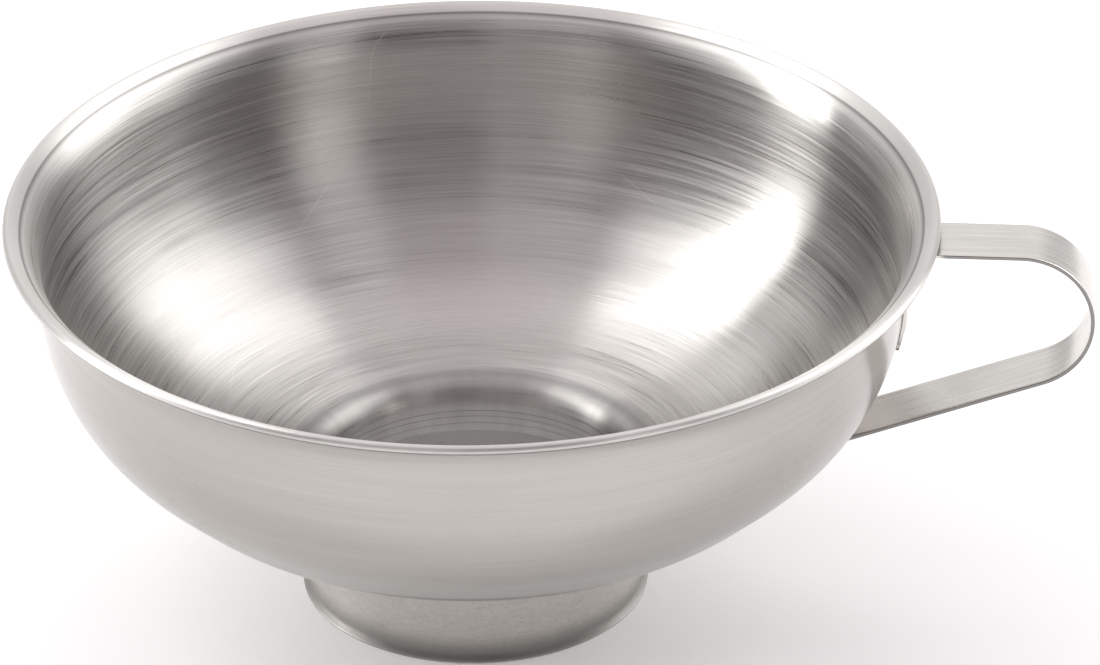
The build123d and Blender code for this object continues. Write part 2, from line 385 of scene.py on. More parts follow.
    def weld_marks(self, upper):
        """Middles of one tab's welds on the strap's outer face, each with its facing."""
        s = self.sizes
        if upper:
            centre, radius, slopes = self.shoulder_centre, s.shoulder_radius, UPPER_WELD_SLOPES
        else:
            centre, radius, slopes = self.bottom_centre, s.bottom_radius, LOWER_WELD_SLOPES
        marks = []
        for slope in map(math.radians, slopes):
            spot = centre + below(slope) * (radius + self.tab_offset + s.strap_thickness / 2)
            facing = below(slope)
            marks.append((Vector((spot.x, 0.0, spot.y)), Vector((facing.x, 0.0, facing.y))))
        return marks


class Value:
    """An output of a node that arithmetic can be done with."""

    def __init__(self, graph, socket):
        self.graph = graph
        self.socket = socket

    def other(self, name):
        """Another output of the same node."""
        return Value(self.graph, self.graph.find(self.socket.node.outputs, name))

    def __add__(self, other):
        return self.graph.maths("ADD", self, other)

    def __radd__(self, other):
        return self.graph.maths("ADD", other, self)

    def __sub__(self, other):
        return self.graph.maths("SUBTRACT", self, other)

    def __rsub__(self, other):
        return self.graph.maths("SUBTRACT", other, self)

    def __mul__(self, other):
        return self.graph.maths("MULTIPLY", self, other)

    def __rmul__(self, other):
        return self.graph.maths("MULTIPLY", other, self)

    def __truediv__(self, other):
        return self.graph.maths("DIVIDE", self, other)

    def __rtruediv__(self, other):
        return self.graph.maths("DIVIDE", other, self)

    def __pow__(self, other):
        return self.graph.maths("POWER", self, other)

    def step(self, low, high):
        """0 up to one value and 1 from the other, with a soft change between."""
        settings = {"interpolation_type": "SMOOTHSTEP"}
        inputs = {"Value": self, "From Min": low, "From Max": high}
        return self.graph.node("ShaderNodeMapRange", settings, inputs)


class Graph:
    """A node tree, of a shader or of a shape, filled in node by node."""

    def __init__(self, tree):
        self.tree = tree

    def find(self, sockets, key):
        """A socket by its number, name or identifier."""
        if isinstance(key, int):
            return sockets[key]
        return next(s for s in sockets if s.enabled and key in (s.name, s.identifier))

    def node(self, kind, settings=None, inputs=None, output=0):
        """Adds a node, sets it up, fills its inputs and gives one of its outputs."""
        made = self.tree.nodes.new(kind)
        for name, value in (settings or {}).items():
            setattr(made, name, value)
        for key, value in (inputs or {}).items():
            self.fill(self.find(made.inputs, key), value)
        outputs = [s for s in made.outputs if s.enabled]
        return Value(self, outputs[output] if isinstance(output, int) else self.find(outputs, output))

    def fill(self, socket, value):
        """Links a value to a socket, or sets the socket to it."""
        if isinstance(value, Value):
            self.tree.links.new(value.socket, socket)
        else:
            socket.default_value = value

    def maths(self, operation, *values):
        """Arithmetic on numbers."""
        return self.node("ShaderNodeMath", {"operation": operation}, dict(enumerate(values)))

    def vector(self, x, y, z):
        """A vector of three numbers."""
        return self.node("ShaderNodeCombineXYZ", inputs={"X": x, "Y": y, "Z": z})

    def parts(self, vector):
        """The three numbers in a vector."""
        split = self.node("ShaderNodeSeparateXYZ", inputs={"Vector": vector})
        return split, split.other("Y"), split.other("Z")

    def vector_maths(self, operation, *values, output=0, **inputs):
        """Arithmetic on vectors."""
        inputs = {**dict(enumerate(values)), **inputs}
        return self.node("ShaderNodeVectorMath", {"operation": operation}, inputs, output)

    def blend(self, factor, first, second):
        """A colour between two colours."""
        inputs = {"Factor_Float": factor, "A_Color": first, "B_Color": second}
        return self.node("ShaderNodeMix", {"data_type": "RGBA"}, inputs)

    def ramp(self, value, stops):
        """A grey read off a row of (place, tone) stops."""
        made = self.node("ShaderNodeValToRGB", inputs={"Fac": value})
        elements = made.socket.node.color_ramp.elements
        while len(elements) < len(stops):
            elements.new(0.5)
        for element, (place, grey) in zip(elements, stops):
            element.position = place
            element.color = (grey, grey, grey, 1.0)
        return made

    def noise(self, vector, scale=1.0, detail=2.0, roughness=0.5):
        """Soft random values through space."""
        inputs = {"Vector": vector, "Scale": scale, "Detail": detail, "Roughness": roughness}
        return self.node("ShaderNodeTexNoise", {"noise_dimensions": "3D"}, inputs)


def new_tree(name, sockets):
    """A geometry tree with named inputs; each socket is (name, type)."""
    tree = bpy.data.node_groups.new(name, "GeometryNodeTree")
    tree.interface.new_socket("Geometry", in_out="OUTPUT", socket_type="NodeSocketGeometry")
    tree.interface.new_socket("Geometry", in_out="INPUT", socket_type="NodeSocketGeometry")
    for label, kind in sockets:
        tree.interface.new_socket(label, in_out="INPUT", socket_type="NodeSocket" + kind)
    graph = Graph(tree)
    return graph, graph.node("NodeGroupInput", output="Geometry")


def close_tree(graph, geometry, material):
    """Ends a tree: copies made real, smooth shading, material on."""
    real = graph.node("GeometryNodeRealizeInstances", inputs={"Geometry": geometry})
    smooth = graph.node("GeometryNodeSetShadeSmooth", inputs={"Geometry": real})
    done = graph.node("GeometryNodeSetMaterial", inputs={"Geometry": smooth, "Material": material})
    end = graph.tree.nodes.new("NodeGroupOutput")
    graph.fill(end.inputs[0], done)
    return graph.tree


def store(graph, geometry, name, value, kind="FLOAT"):
    """Keeps a value on every point under a name."""
    inputs = {"Geometry": geometry, "Name": name, "Value": value}
    return graph.node("GeometryNodeStoreNamedAttribute", {"data_type": kind}, inputs)


def stored(graph, name, kind="FLOAT"):
    """A value kept on the points earlier."""
    return graph.node("GeometryNodeInputNamedAttribute", {"data_type": kind}, {"Name": name})


def turning_tree():
    """Turns a closed outline about the axis and gives the inner face its own material."""
    graph, outline = new_tree("Turned Sheet", [
        ("Segments", "Int"), ("Unevenness", "Float"),
        ("Material", "Material"), ("Face Material", "Material"),
    ])
    given = outline.other
    across, _, up = graph.parts(graph.node("GeometryNodeInputPosition"))
    outline = store(graph, outline, "across", across)
    outline = store(graph, outline, "up", up)
    profile = graph.node("GeometryNodeMeshToCurve", inputs={"Mesh": outline})
    circle = graph.node("GeometryNodeCurvePrimitiveCircle", inputs={
        "Resolution": given("Segments"), "Radius": 1.0,
    })
    heading = graph.vector_maths("NORMALIZE", graph.node("GeometryNodeInputPosition"))
    circle = store(graph, circle, "heading", heading, "FLOAT_VECTOR")
    swept = graph.node("GeometryNodeCurveToMesh", inputs={"Curve": circle, "Profile Curve": profile})
    heading = stored(graph, "heading", "FLOAT_VECTOR")
    height = graph.vector(0.0, 0.0, stored(graph, "up"))
    reach = graph.vector_maths("SCALE", heading, Scale=stored(graph, "across"))
    turned = graph.vector_maths("ADD", reach, height)
    swept = graph.node("GeometryNodeSetPosition", inputs={"Geometry": swept, "Position": turned})
    lumps = graph.noise(graph.node("GeometryNodeInputPosition"), scale=LUMPS_PER_METRE, detail=3.0)
    depth = lumps * given("Unevenness") * -1.0
    sink = graph.vector_maths("SCALE", graph.node("GeometryNodeInputNormal"), Scale=depth)
    swept = graph.node("GeometryNodeSetPosition", inputs={"Geometry": swept, "Offset": sink})
    tree = close_tree(graph, swept, given("Material"))
    final = next(n for n in tree.nodes if n.bl_idname == "GeometryNodeSetMaterial")
    inputs = {"Geometry": Value(graph, final.outputs[0]), "Material": given("Face Material")}
    inputs["Selection"] = graph.node(
        "FunctionNodeCompare", {"data_type": "FLOAT"}, {"A": stored(graph, "inner_face"), "B": 0.5}
    )
    faced = graph.node("GeometryNodeSetMaterial", inputs=inputs)
    graph.fill(next(n for n in tree.nodes if n.bl_idname == "NodeGroupOutput").inputs[0], faced)
    return tree


def strap_strip(graph, path, given):
    """Sweeps the strap's flat section along its path, keeping where each point lies."""
    position = graph.node("GeometryNodeInputPosition")
    path = store(graph, path, "middle", position, "FLOAT_VECTOR")
    path = graph.node("GeometryNodeMeshToCurve", inputs={"Mesh": path})
    travelled = graph.node("GeometryNodeSplineParameter", output="Length")
    whole = graph.node("GeometryNodeSplineLength", output="Length")
    path = store(graph, path, "along", travelled)
    path = store(graph, path, "from_end", graph.maths("MINIMUM", travelled, whole - travelled))
    section = graph.node("GeometryNodeCurvePrimitiveQuadrilateral", inputs={
        "Width": given("Width"), "Height": given("Thickness"),
    })
    section = graph.node("GeometryNodeFilletCurve", {"mode": "POLY"}, {
        "Curve": section, "Radius": given("Edge Radius"), "Count": 2, "Limit Radius": True,
    })
    section = graph.node("GeometryNodeSubdivideCurve", inputs={
        "Curve": section, "Cuts": given("Divisions"),
    })
    side, depth, _ = graph.parts(position)
    section = store(graph, section, "side", side)
    section = store(graph, section, "depth", depth)
    return graph.node("GeometryNodeCurveToMesh", inputs={
        "Curve": path, "Profile Curve": section, "Fill Caps": True,
    })


def wrap_strip(graph, strip, given):
    """Rounds the strip's ends and bends it across to follow the bowl."""
    corner = given("Corner Radius")
    into = graph.maths("MINIMUM", stored(graph, "from_end") / corner, 1.0)
    pulled_in = corner * (1.0 - (1.0 - (1.0 - into) ** 2.0) ** 0.5)
    half = given("Width") / 2.0
    side = stored(graph, "side") * (half - pulled_in) / half
    depth = stored(graph, "depth")
    outer = graph.vector_maths("SCALE", stored(graph, "face", "FLOAT_VECTOR"), Scale=depth)
    middle = stored(graph, "middle", "FLOAT_VECTOR")
    reach, _, height = graph.parts(graph.vector_maths("ADD", middle, outer))
    place = graph.vector((reach * reach - side * side) ** 0.5, side, height)
    strip = graph.node("GeometryNodeSetPosition", inputs={"Geometry": strip, "Position": place})
    return store(graph, strip, "side", side)


def dent_strip(graph, strip, given):
    """Presses a dent at every weld and keeps how near each point is to the heat."""
    marks = graph.node("GeometryNodeObjectInfo", inputs={"Object": given("Weld Marks")}, output="Geometry")
    near = graph.node("GeometryNodeProximity", {"target_element": "POINTS"}, {
        "Geometry": marks, "Sample Position": graph.node("GeometryNodeInputPosition"),
    }, output="Distance")
    radius = given("Dent Radius")
    strip = store(graph, strip, "heat", near.step(radius * 3.2, radius * 0.9))
    dent = near.step(radius, radius * 0.8) * given("Dent Depth") * -1.0
    sink = graph.vector_maths("SCALE", graph.node("GeometryNodeInputNormal"), Scale=dent)
    return graph.node("GeometryNodeSetPosition", inputs={"Geometry": strip, "Offset": sink})


def strap_tree():
    """Runs a flat strip along a path, rounds its ends, wraps it on the bowl and dents it."""
    graph, path = new_tree("Bent Strap", [
        ("Width", "Float"), ("Thickness", "Float"), ("Edge Radius", "Float"), ("Corner Radius", "Float"),
        ("Divisions", "Int"), ("Dent Depth", "Float"), ("Dent Radius", "Float"),
        ("Weld Marks", "Object"), ("Material", "Material"),
    ])
    given = path.other
    strip = strap_strip(graph, path, given)
    strip = wrap_strip(graph, strip, given)
    strip = dent_strip(graph, strip, given)
    return close_tree(graph, strip, given("Material"))


def weld_tree():
    """Sets a small dished disc on every mark, turned to face away from the bowl."""
    graph, marks = new_tree("Spot Welds", [
        ("Radius", "Float"), ("Dish Depth", "Float"), ("Thickness", "Float"), ("Segments", "Int"),
        ("Material", "Material"),
    ])
    given = marks.other
    radius = given("Radius")
    disc = graph.node("GeometryNodeMeshCylinder", {"fill_type": "TRIANGLE_FAN"}, {
        "Vertices": given("Segments"), "Side Segments": 3, "Fill Segments": 14,
        "Radius": radius, "Depth": given("Thickness"),
    })
    x, y, z = graph.parts(graph.node("GeometryNodeInputPosition"))
    out = (x * x + y * y) ** 0.5 / radius
    dish = out.step(0.88, 0.0) * given("Dish Depth") + out.step(0.9, 1.0) * given("Dish Depth") * 0.5
    upper = z.step(0.0, given("Thickness") * 0.5)
    drop = graph.vector(0.0, 0.0, 0.0 - dish * upper - given("Thickness") * 0.5)
    disc = graph.node("GeometryNodeSetPosition", inputs={"Geometry": disc, "Offset": drop})
    disc = store(graph, disc, "out", out)
    turn = graph.node("FunctionNodeAlignRotationToVector", {"axis": "Z"}, {
        "Vector": stored(graph, "face", "FLOAT_VECTOR"),
    })
    copies = graph.node("GeometryNodeInstanceOnPoints", inputs={
        "Points": marks, "Instance": disc, "Rotation": turn,
    })
    return close_tree(graph, copies, given("Material"))


def line_mesh(name, points, closed, **kept):
    """A mesh of points joined in a row, with named values kept on the points."""
    mesh = bpy.data.meshes.new(name)
    edges = [(i, i + 1) for i in range(len(points) - 1)]
    if closed:
        edges.append((len(points) - 1, 0))
    mesh.from_pydata(points, edges, [])
    for label, values in kept.items():
        vector = isinstance(values[0], Vector)
        kept_values = mesh.attributes.new(label, "FLOAT_VECTOR" if vector else "FLOAT", "POINT")
        flat = [c for v in values for c in v] if vector else values
        kept_values.data.foreach_set("vector" if vector else "value", flat)
    return mesh


def upright(point):
    """A point of the XZ plane, in space."""
    return Vector((point.x, 0.0, point.y))


def grow(name, base, tree, inputs):
    """Runs a tree on a base mesh and keeps what comes out as a plain piece."""
    holder = bpy.data.objects.new(name + " Base", base)
    bpy.context.scene.collection.objects.link(holder)
    shape = holder.modifiers.new("Shape", "NODES")
    shape.node_group = tree
    for item in tree.interface.items_tree:
        if item.in_out == "INPUT" and item.name in inputs:
            shape[item.identifier] = inputs[item.name]
    graph = bpy.context.evaluated_depsgraph_get()
    mesh = bpy.data.meshes.new_from_object(
        holder.evaluated_get(graph), preserve_all_data_layers=True, depsgraph=graph
    )
    bpy.data.objects.remove(holder)
    mesh.name = name
    piece = bpy.data.objects.new(name, mesh)
    bpy.context.scene.collection.objects.link(piece)
    face_outward(mesh)
    mesh.set_sharp_from_angle(angle=math.radians(SHARP_DEGREES))
    return piece


def face_outward(mesh):
    """Welds seams shut and turns every face to look out of the piece."""
    work = bmesh.new()
    work.from_mesh(mesh)
    bmesh.ops.remove_doubles(work, verts=work.verts, dist=TINY)
    bmesh.ops.recalc_face_normals(work, faces=work.faces)
    work.to_mesh(mesh)
    work.free()


def place_on(piece, material_slot, *nodes):
    """Puts a finished piece in the frame, in place of its plain solids."""
    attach(piece, "root")
    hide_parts(*nodes)


class Metal(Graph):
    """A steel material, with the ways steel is worked as its methods."""

    def __init__(self, name, **constants):
        self.material = bpy.data.materials.new(name)
        self.material.use_nodes = True
        super().__init__(self.material.node_tree)
        self.shader = next(n for n in self.tree.nodes if n.bl_idname == "ShaderNodeBsdfPrincipled")
        self.set(Metallic=1.0, **constants)
        self.place = self.node("ShaderNodeTexCoord", output="Object")
        x, y, self.height = self.parts(self.place)
        self.radius = (x * x + y * y + TINY * TINY) ** 0.5
        self.x, self.y = x, y
        self.head_x, self.head_y = x / self.radius, y / self.radius
        self.profile = self.radius + self.height

    def set(self, **values):
        """Sets the shader's own sockets; underscores stand for spaces."""
        for name, value in values.items():
            self.fill(self.shader.inputs[name.replace("_", " ")], value)

    def turned_lines(self, round_count, per_metre, seed=0.0, detail=2.0):
        """Lines left by turning: long round the axis and narrow across it."""
        sway = self.vector(
            self.head_x * round_count + seed,
            self.head_y * round_count - seed,
            self.profile * per_metre + seed,
        )
        return self.noise(sway, detail=detail, roughness=0.6)

    def level(self, height, width):
        """1 on a thin line at this height."""
        return self.maths("ABSOLUTE", self.height - height).step(width, 0.0)

    def strongest(self, marks):
        """The greatest of several values, point by point."""
        most = marks[0]
        for mark in marks[1:]:
            most = self.maths("MAXIMUM", most, mark)
        return most

    def scratch(self, x, y, radius, width):
        """1 on a stray arc whose centre is off the axis, worn away in places."""
        dx, dy = self.x - x, self.y - y
        gap = self.maths("ABSOLUTE", (dx * dx + dy * dy) ** 0.5 - radius)
        worn = self.noise(self.vector(self.x + radius, self.y, 0.0), scale=45.0).step(0.48, 0.6)
        return gap.step(width, 0.0) * worn

    def bump(self, height, strength, distance):
        """Lets a height catch the light without changing the shape."""
        inputs = {"Height": height, "Strength": strength, "Distance": distance}
        self.set(Normal=self.node("ShaderNodeBump", inputs=inputs))


def tone(colour, scale=1.0):
    """A colour with its alpha, made darker or lighter."""
    return (*[min(1.0, c * scale) for c in colour], 1.0)


def brushed_inside(finish):
    """Bright steel with turned brush lines, a plainer lip with a painted highlight, painted shade round
    the throat and a painted shadow under the hem.
    """
    m = Metal(
        "Brushed Inside", IOR=STEEL_IOR,
        Anisotropic=finish.turned_stretch, Anisotropic_Rotation=INSIDE_ROTATION,
    )
    fine = m.turned_lines(3.0, 3600.0)
    medium = m.turned_lines(1.7, 1500.0, seed=7.0)
    broad = m.turned_lines(0.8, 300.0, seed=19.0)
    cloud = m.noise(m.place, scale=28.0, detail=3.0)
    lines = fine * 0.5 + medium * 0.35 + broad * 0.15
    lip = m.radius.step(*LIP_RADII)
    scratched = m.strongest([m.scratch(*arc) for arc in STRAY_SCRATCHES])
    grooves = m.strongest([m.level(*line) for line in COLLAR_LINES])
    steel = m.blend(lines * 3.2 - 1.08, tone(finish.dark_steel), tone(finish.bright_steel))
    steel = m.blend(cloud.step(0.35, 0.8) * 0.35, steel, tone(finish.bright_steel, 0.86))
    # Painted highlight: the lip is painted plain and lighter; the plain band is partly its own finish,
    # without brush lines.
    steel = m.blend(lip * 0.8, steel, tone(finish.bright_steel, 1.04))
    steel = m.blend(scratched * 0.45, steel, tone(finish.bright_steel, 1.25))
    # Painted shade: the floor and curve round the throat are painted darker, broken up by streaks.
    throat = m.radius.step(*THROAT_RADII)
    streak = m.noise(m.vector(m.head_x * 9.0, m.head_y * 9.0, m.height * 60.0), detail=2.0)
    steel = m.blend(throat * (streak * 0.5 + 0.5), steel, tone(finish.dark_steel, 0.78))
    # Painted shadow: the underside of the folded hem is painted dark.
    painted_hem_shadow = m.height.step(*HEM_UNDER_HEIGHTS) * m.radius.step(*HEM_RADII)
    steel = m.blend(painted_hem_shadow * 0.85, steel, tone(finish.dark_steel, 0.4))
    steel = m.blend(grooves * 0.7, steel, tone(finish.dark_steel, 0.35))
    rough = (
        finish.inside_roughness + (fine - 0.5) * 0.16 + (medium - 0.5) * 0.18 + (broad - 0.5) * 0.1
        + (cloud - 0.5) * 0.08 + lip * 0.03 + scratched * 0.08
    )
    m.set(Base_Color=steel, Roughness=rough)
    m.bump(fine * 0.6 + medium * 0.4 + scratched * 0.8 - grooves * 2.0, 0.22, 0.00002)
    return m.material


def satin_outside(finish):
    """Smooth spun steel with faint turning lines and handling marks."""
    m = Metal("Satin Outside", Anisotropic=0.45, Anisotropic_Rotation=INSIDE_ROTATION, IOR=STEEL_IOR)
    fine = m.turned_lines(3.0, 4200.0, seed=3.0)
    medium = m.turned_lines(1.4, 900.0, seed=11.0)
    broad = m.turned_lines(0.7, 140.0, seed=23.0)
    handled = m.noise(m.place, scale=34.0, detail=4.0, roughness=0.6).step(0.5, 0.72)
    lines = fine * 0.35 + medium * 0.35 + broad * 0.3
    dull, light = tone(finish.outside_steel, 0.9), tone(finish.outside_steel, 1.03)
    steel = m.blend(lines.step(0.3, 0.7), dull, light)
    steel = m.blend(handled * 0.3, steel, tone(finish.outside_steel, 0.88))
    rough = finish.outside_roughness + (medium - 0.5) * 0.1 + (broad - 0.5) * 0.08 + handled * 0.06
    m.set(Base_Color=steel, Roughness=rough)
    m.bump(fine * 0.5 + medium * 0.5, 0.12, 0.00002)
    return m.material


def grained_spout(finish):
    """Duller steel with a short turned grain, painted shade at its foot and inside, and a painted
    highlight on the foot's edge.
    """
    m = Metal("Grained Spout", Anisotropic=0.5, Anisotropic_Rotation=INSIDE_ROTATION, IOR=STEEL_IOR)
    fine = m.turned_lines(26.0, 5200.0, seed=31.0, detail=3.0)
    medium = m.turned_lines(9.0, 1300.0, seed=37.0)
    speck = m.noise(m.place, scale=1900.0, detail=2.0).step(0.55, 0.8)
    low = m.height.step(*FOOT_HEIGHTS)
    lines = fine * 0.6 + medium * 0.4
    steel = m.blend(lines.step(0.25, 0.75), tone(finish.spout_steel, 0.84), tone(finish.spout_steel, 1.06))
    steel = m.blend(speck * 0.35, steel, tone(finish.spout_steel, 0.62))
    # Painted shade: the foot of the spout is painted darker; the same band is also made rougher below.
    steel = m.blend(low * 0.75, steel, tone(finish.spout_steel, 0.45))
    # Painted highlight: the bottom edge of the foot is painted lighter.
    edge = m.height.step(*FOOT_EDGE_HEIGHTS)
    steel = m.blend(edge * 0.4, steel, tone(finish.bright_steel))
    # Painted shade: the spout's inside face is painted darker.
    inner = m.radius.step(*SPOUT_INSIDE_RADII)
    steel = m.blend(inner * 0.75, steel, tone(finish.dark_steel, 0.5))
    rough = finish.spout_roughness + (medium - 0.5) * 0.14 + speck * 0.1 + low * 0.14
    m.set(Base_Color=steel, Roughness=rough)
    m.bump(fine * 0.7 + speck * 0.5, 0.3, 0.00003)
    return m.material


def rolled_strap(finish):
    """Rolled strip with painted shade on its sides, left off on the upper tab, and tint at the welds."""
    m = Metal("Rolled Strap", Anisotropic=0.2, IOR=STEEL_IOR)
    side = m.node("ShaderNodeAttribute", {"attribute_name": "side"}, output="Fac")
    along = m.node("ShaderNodeAttribute", {"attribute_name": "along"}, output="Fac")
    heat = m.node("ShaderNodeAttribute", {"attribute_name": "heat"}, output="Fac")
    fine = m.noise(m.vector(along * 90.0, side * 5200.0, 0.0), detail=2.0)
    medium = m.noise(m.vector(along * 30.0, side * 1100.0, 4.0), detail=2.0)
    cloud = m.noise(m.place, scale=90.0, detail=3.0)
    lines = fine * 0.5 + medium * 0.5
    on_tab = m.height.step(*UPPER_TAB_HEIGHTS) * m.radius.step(*UPPER_TAB_RADII)
    # Painted shade: the strap's sides are painted dark, except on the upper tab.
    painted_side_shade = m.maths("ABSOLUTE", side).step(*SIDE_SHADE_WIDTHS) * (1.0 - on_tab)
    steel = m.blend(lines.step(0.3, 0.7), tone(finish.strap_steel, 0.84), tone(finish.strap_steel, 1.04))
    steel = m.blend(cloud.step(0.4, 0.8) * 0.45, steel, tone(finish.strap_steel, 0.78))
    steel = m.blend(painted_side_shade * 0.85, steel, tone(finish.dark_steel, 0.45))
    steel = m.blend(heat * (cloud * 0.6 + 0.3), steel, tone(finish.tint))
    rough = finish.strap_roughness + (medium - 0.5) * 0.14 + (cloud - 0.5) * 0.12 + heat * 0.12
    m.set(Base_Color=steel, Roughness=rough)
    m.bump(fine * 0.6 + medium * 0.4, 0.15, 0.00002)
    return m.material


def weld_metal(finish):
    """Dull steel pressed and heated by the welding tips."""
    m = Metal("Weld Metal", IOR=STEEL_IOR)
    out = m.node("ShaderNodeAttribute", {"attribute_name": "out"}, output="Fac")
    grain = m.noise(m.place, scale=2600.0, detail=3.0)
    cloud = m.noise(m.place, scale=600.0, detail=2.0)
    ring = out.step(0.7, 0.88) * out.step(1.0, 0.9)
    steel = m.blend(grain.step(0.35, 0.7), tone(finish.weld_steel, 0.8), tone(finish.weld_steel, 1.15))
    steel = m.blend(ring * (cloud * 0.5 + 0.4), steel, tone(finish.tint))
    m.set(Base_Color=steel, Roughness=0.36 + grain * 0.2 + ring * 0.1)
    m.bump(grain, 0.3, 0.00003)
    return m.material


def braze_metal(finish):
    """Filler metal that froze with soft ripples and a faint warm cast."""
    m = Metal("Braze Metal", IOR=STEEL_IOR)
    ripple = m.noise(m.place, scale=520.0, detail=3.0)
    warm = m.noise(m.place, scale=110.0, detail=2.0)
    steel = m.blend(ripple, tone(finish.dark_steel, 0.6), tone(finish.dark_steel, 1.05))
    steel = m.blend(warm.step(0.45, 0.75) * 0.35, steel, tone(finish.tint, 1.25))
    m.set(Base_Color=steel, Roughness=0.3 + ripple * 0.2)
    m.bump(ripple, 0.4, 0.00012)
    return m.material


def area_light(name, azimuth, elevation, distance, size, power, aim):
    """A softbox at a compass angle from +X towards +Y, facing a point."""
    lamp = bpy.data.lights.new(name, "AREA")
    lamp.shape = "RECTANGLE"
    lamp.size, lamp.size_y = size
    lamp.energy = power
    light = bpy.data.objects.new(name, lamp)
    flat = math.cos(elevation)
    way = Vector((flat * math.cos(azimuth), flat * math.sin(azimuth), math.sin(elevation)))
    light.location = aim + way * distance
    light.rotation_euler = way.to_track_quat("Z", "Y").to_euler()
    bpy.context.scene.collection.objects.link(light)
    return light


def settings():
    """The scene's sizes, finish and studio."""
    scene = bpy.context.scene
    return scene.funnel_sizes, scene.funnel_finish, scene.funnel_studio


def turned_piece(name, line, half, outside, inside):
    """A turned piece from the middle line of its sheet."""
    outline, marks = line.outline(half)
    base = line_mesh(name + " Outline", [upright(p) for p in outline], True, inner_face=marks)
    inputs = {
        "Segments": TURN_SEGMENTS, "Unevenness": 0.0, "Material": outside, "Face Material": inside,
    }
    return grow(name, base, turning_tree(), inputs)


class FUNNEL_OT_turn_bowl(bpy.types.Operator):
    """Turns the bowl with its folded lip and collar"""

    bl_idname = "funnel.turn_bowl"
    bl_label = "Turn Bowl"

    def execute(self, context):
        sizes, finish, _ = settings()
        shape = FunnelShape(sizes)
        piece = turned_piece(
            "turned_bowl", shape.bowl_line(), shape.half, satin_outside(finish), brushed_inside(finish)
        )
        place_on(piece, "brushed_bowl", "bowl")
        return {"FINISHED"}


class FUNNEL_OT_turn_spout(bpy.types.Operator):
    """Turns the short spout with its flared foot"""

    bl_idname = "funnel.turn_spout"
    bl_label = "Turn Spout"

    def execute(self, context):
        sizes, finish, _ = settings()
        shape = FunnelShape(sizes)
        steel = grained_spout(finish)
        piece = turned_piece("turned_spout", shape.spout_line(), shape.half, steel, steel)
        place_on(piece, "brushed_spout", "spout")
        return {"FINISHED"}


class FUNNEL_OT_run_braze(bpy.types.Operator):
    """Runs the braze bead round the joint of bowl and spout"""

    bl_idname = "funnel.run_braze"
    bl_label = "Run Braze"

    def execute(self, context):
        sizes, finish, _ = settings()
        shape = FunnelShape(sizes)
        centre = Vector((sizes.spout_diameter / 2, shape.collar_top.y + sizes.braze_lift))
        steps = 28
        ring = [centre + below(math.tau * i / steps) * sizes.braze_radius for i in range(steps)]
        base = line_mesh("Braze Outline", [upright(p) for p in ring], True, inner_face=[0.0] * steps)
        steel = braze_metal(finish)
        inputs = {
            "Segments": TURN_SEGMENTS, "Unevenness": BRAZE_UNEVENNESS,
            "Material": steel, "Face Material": steel,
        }
        place_on(grow("braze_bead", base, turning_tree(), inputs), "braze_metal", "braze_ring")
        return {"FINISHED"}


class FUNNEL_OT_bend_strap(bpy.types.Operator):
    """Bends the handle strap and forms its tabs to the bowl"""

    bl_idname = "funnel.bend_strap"
    bl_label = "Bend Strap"

    def execute(self, context):
        sizes, finish, _ = settings()
        shape = FunnelShape(sizes)
        stations = shape.strap_line().stations
        faces = [upright(face) for _, face in stations]
        base = line_mesh("Strap Path", [upright(p) for p, _ in stations], False, face=faces)
        marks = [spot for upper in (True, False) for spot, _ in shape.weld_marks(upper)]
        spots = bpy.data.objects.new("Weld Marks", line_mesh("Weld Marks", marks, False))
        bpy.context.scene.collection.objects.link(spots)
        piece = grow("bent_strap", base, strap_tree(), {
            "Width": sizes.strap_width, "Thickness": sizes.strap_thickness, "Edge Radius": 0.12 * MM,
            "Corner Radius": sizes.corner_radius, "Divisions": 22,
            "Dent Depth": sizes.dimple_depth * 2.2, "Dent Radius": sizes.nugget_diameter / 2,
            "Weld Marks": spots, "Material": rolled_strap(finish),
        })
        bpy.data.objects.remove(spots)
        place_on(piece, "strap_steel", "handle_strap")
        return {"FINISHED"}


class FUNNEL_OT_set_welds(bpy.types.Operator):
    """Sets the two spot welds of each tab"""

    bl_idname = "funnel.set_welds"
    bl_label = "Set Spot Welds"

    def execute(self, context):
        sizes, finish, _ = settings()
        shape = FunnelShape(sizes)
        steel = weld_metal(finish)
        tree = weld_tree()
        for name, node, upper in (("upper_welds", "upper_spot_welds", True),
                                  ("lower_welds", "lower_spot_welds", False)):
            marks = shape.weld_marks(upper)
            base = line_mesh(name, [spot - face * 0.02 * MM for spot, face in marks], False,
                             face=[face for _, face in marks])
            piece = grow(name, base, tree, {
                "Radius": sizes.nugget_diameter / 2 * 0.97, "Dish Depth": sizes.dimple_depth,
                "Thickness": sizes.strap_thickness * 0.8, "Segments": 48, "Material": steel,
            })
            place_on(piece, "weld_metal", node)
        return {"FINISHED"}


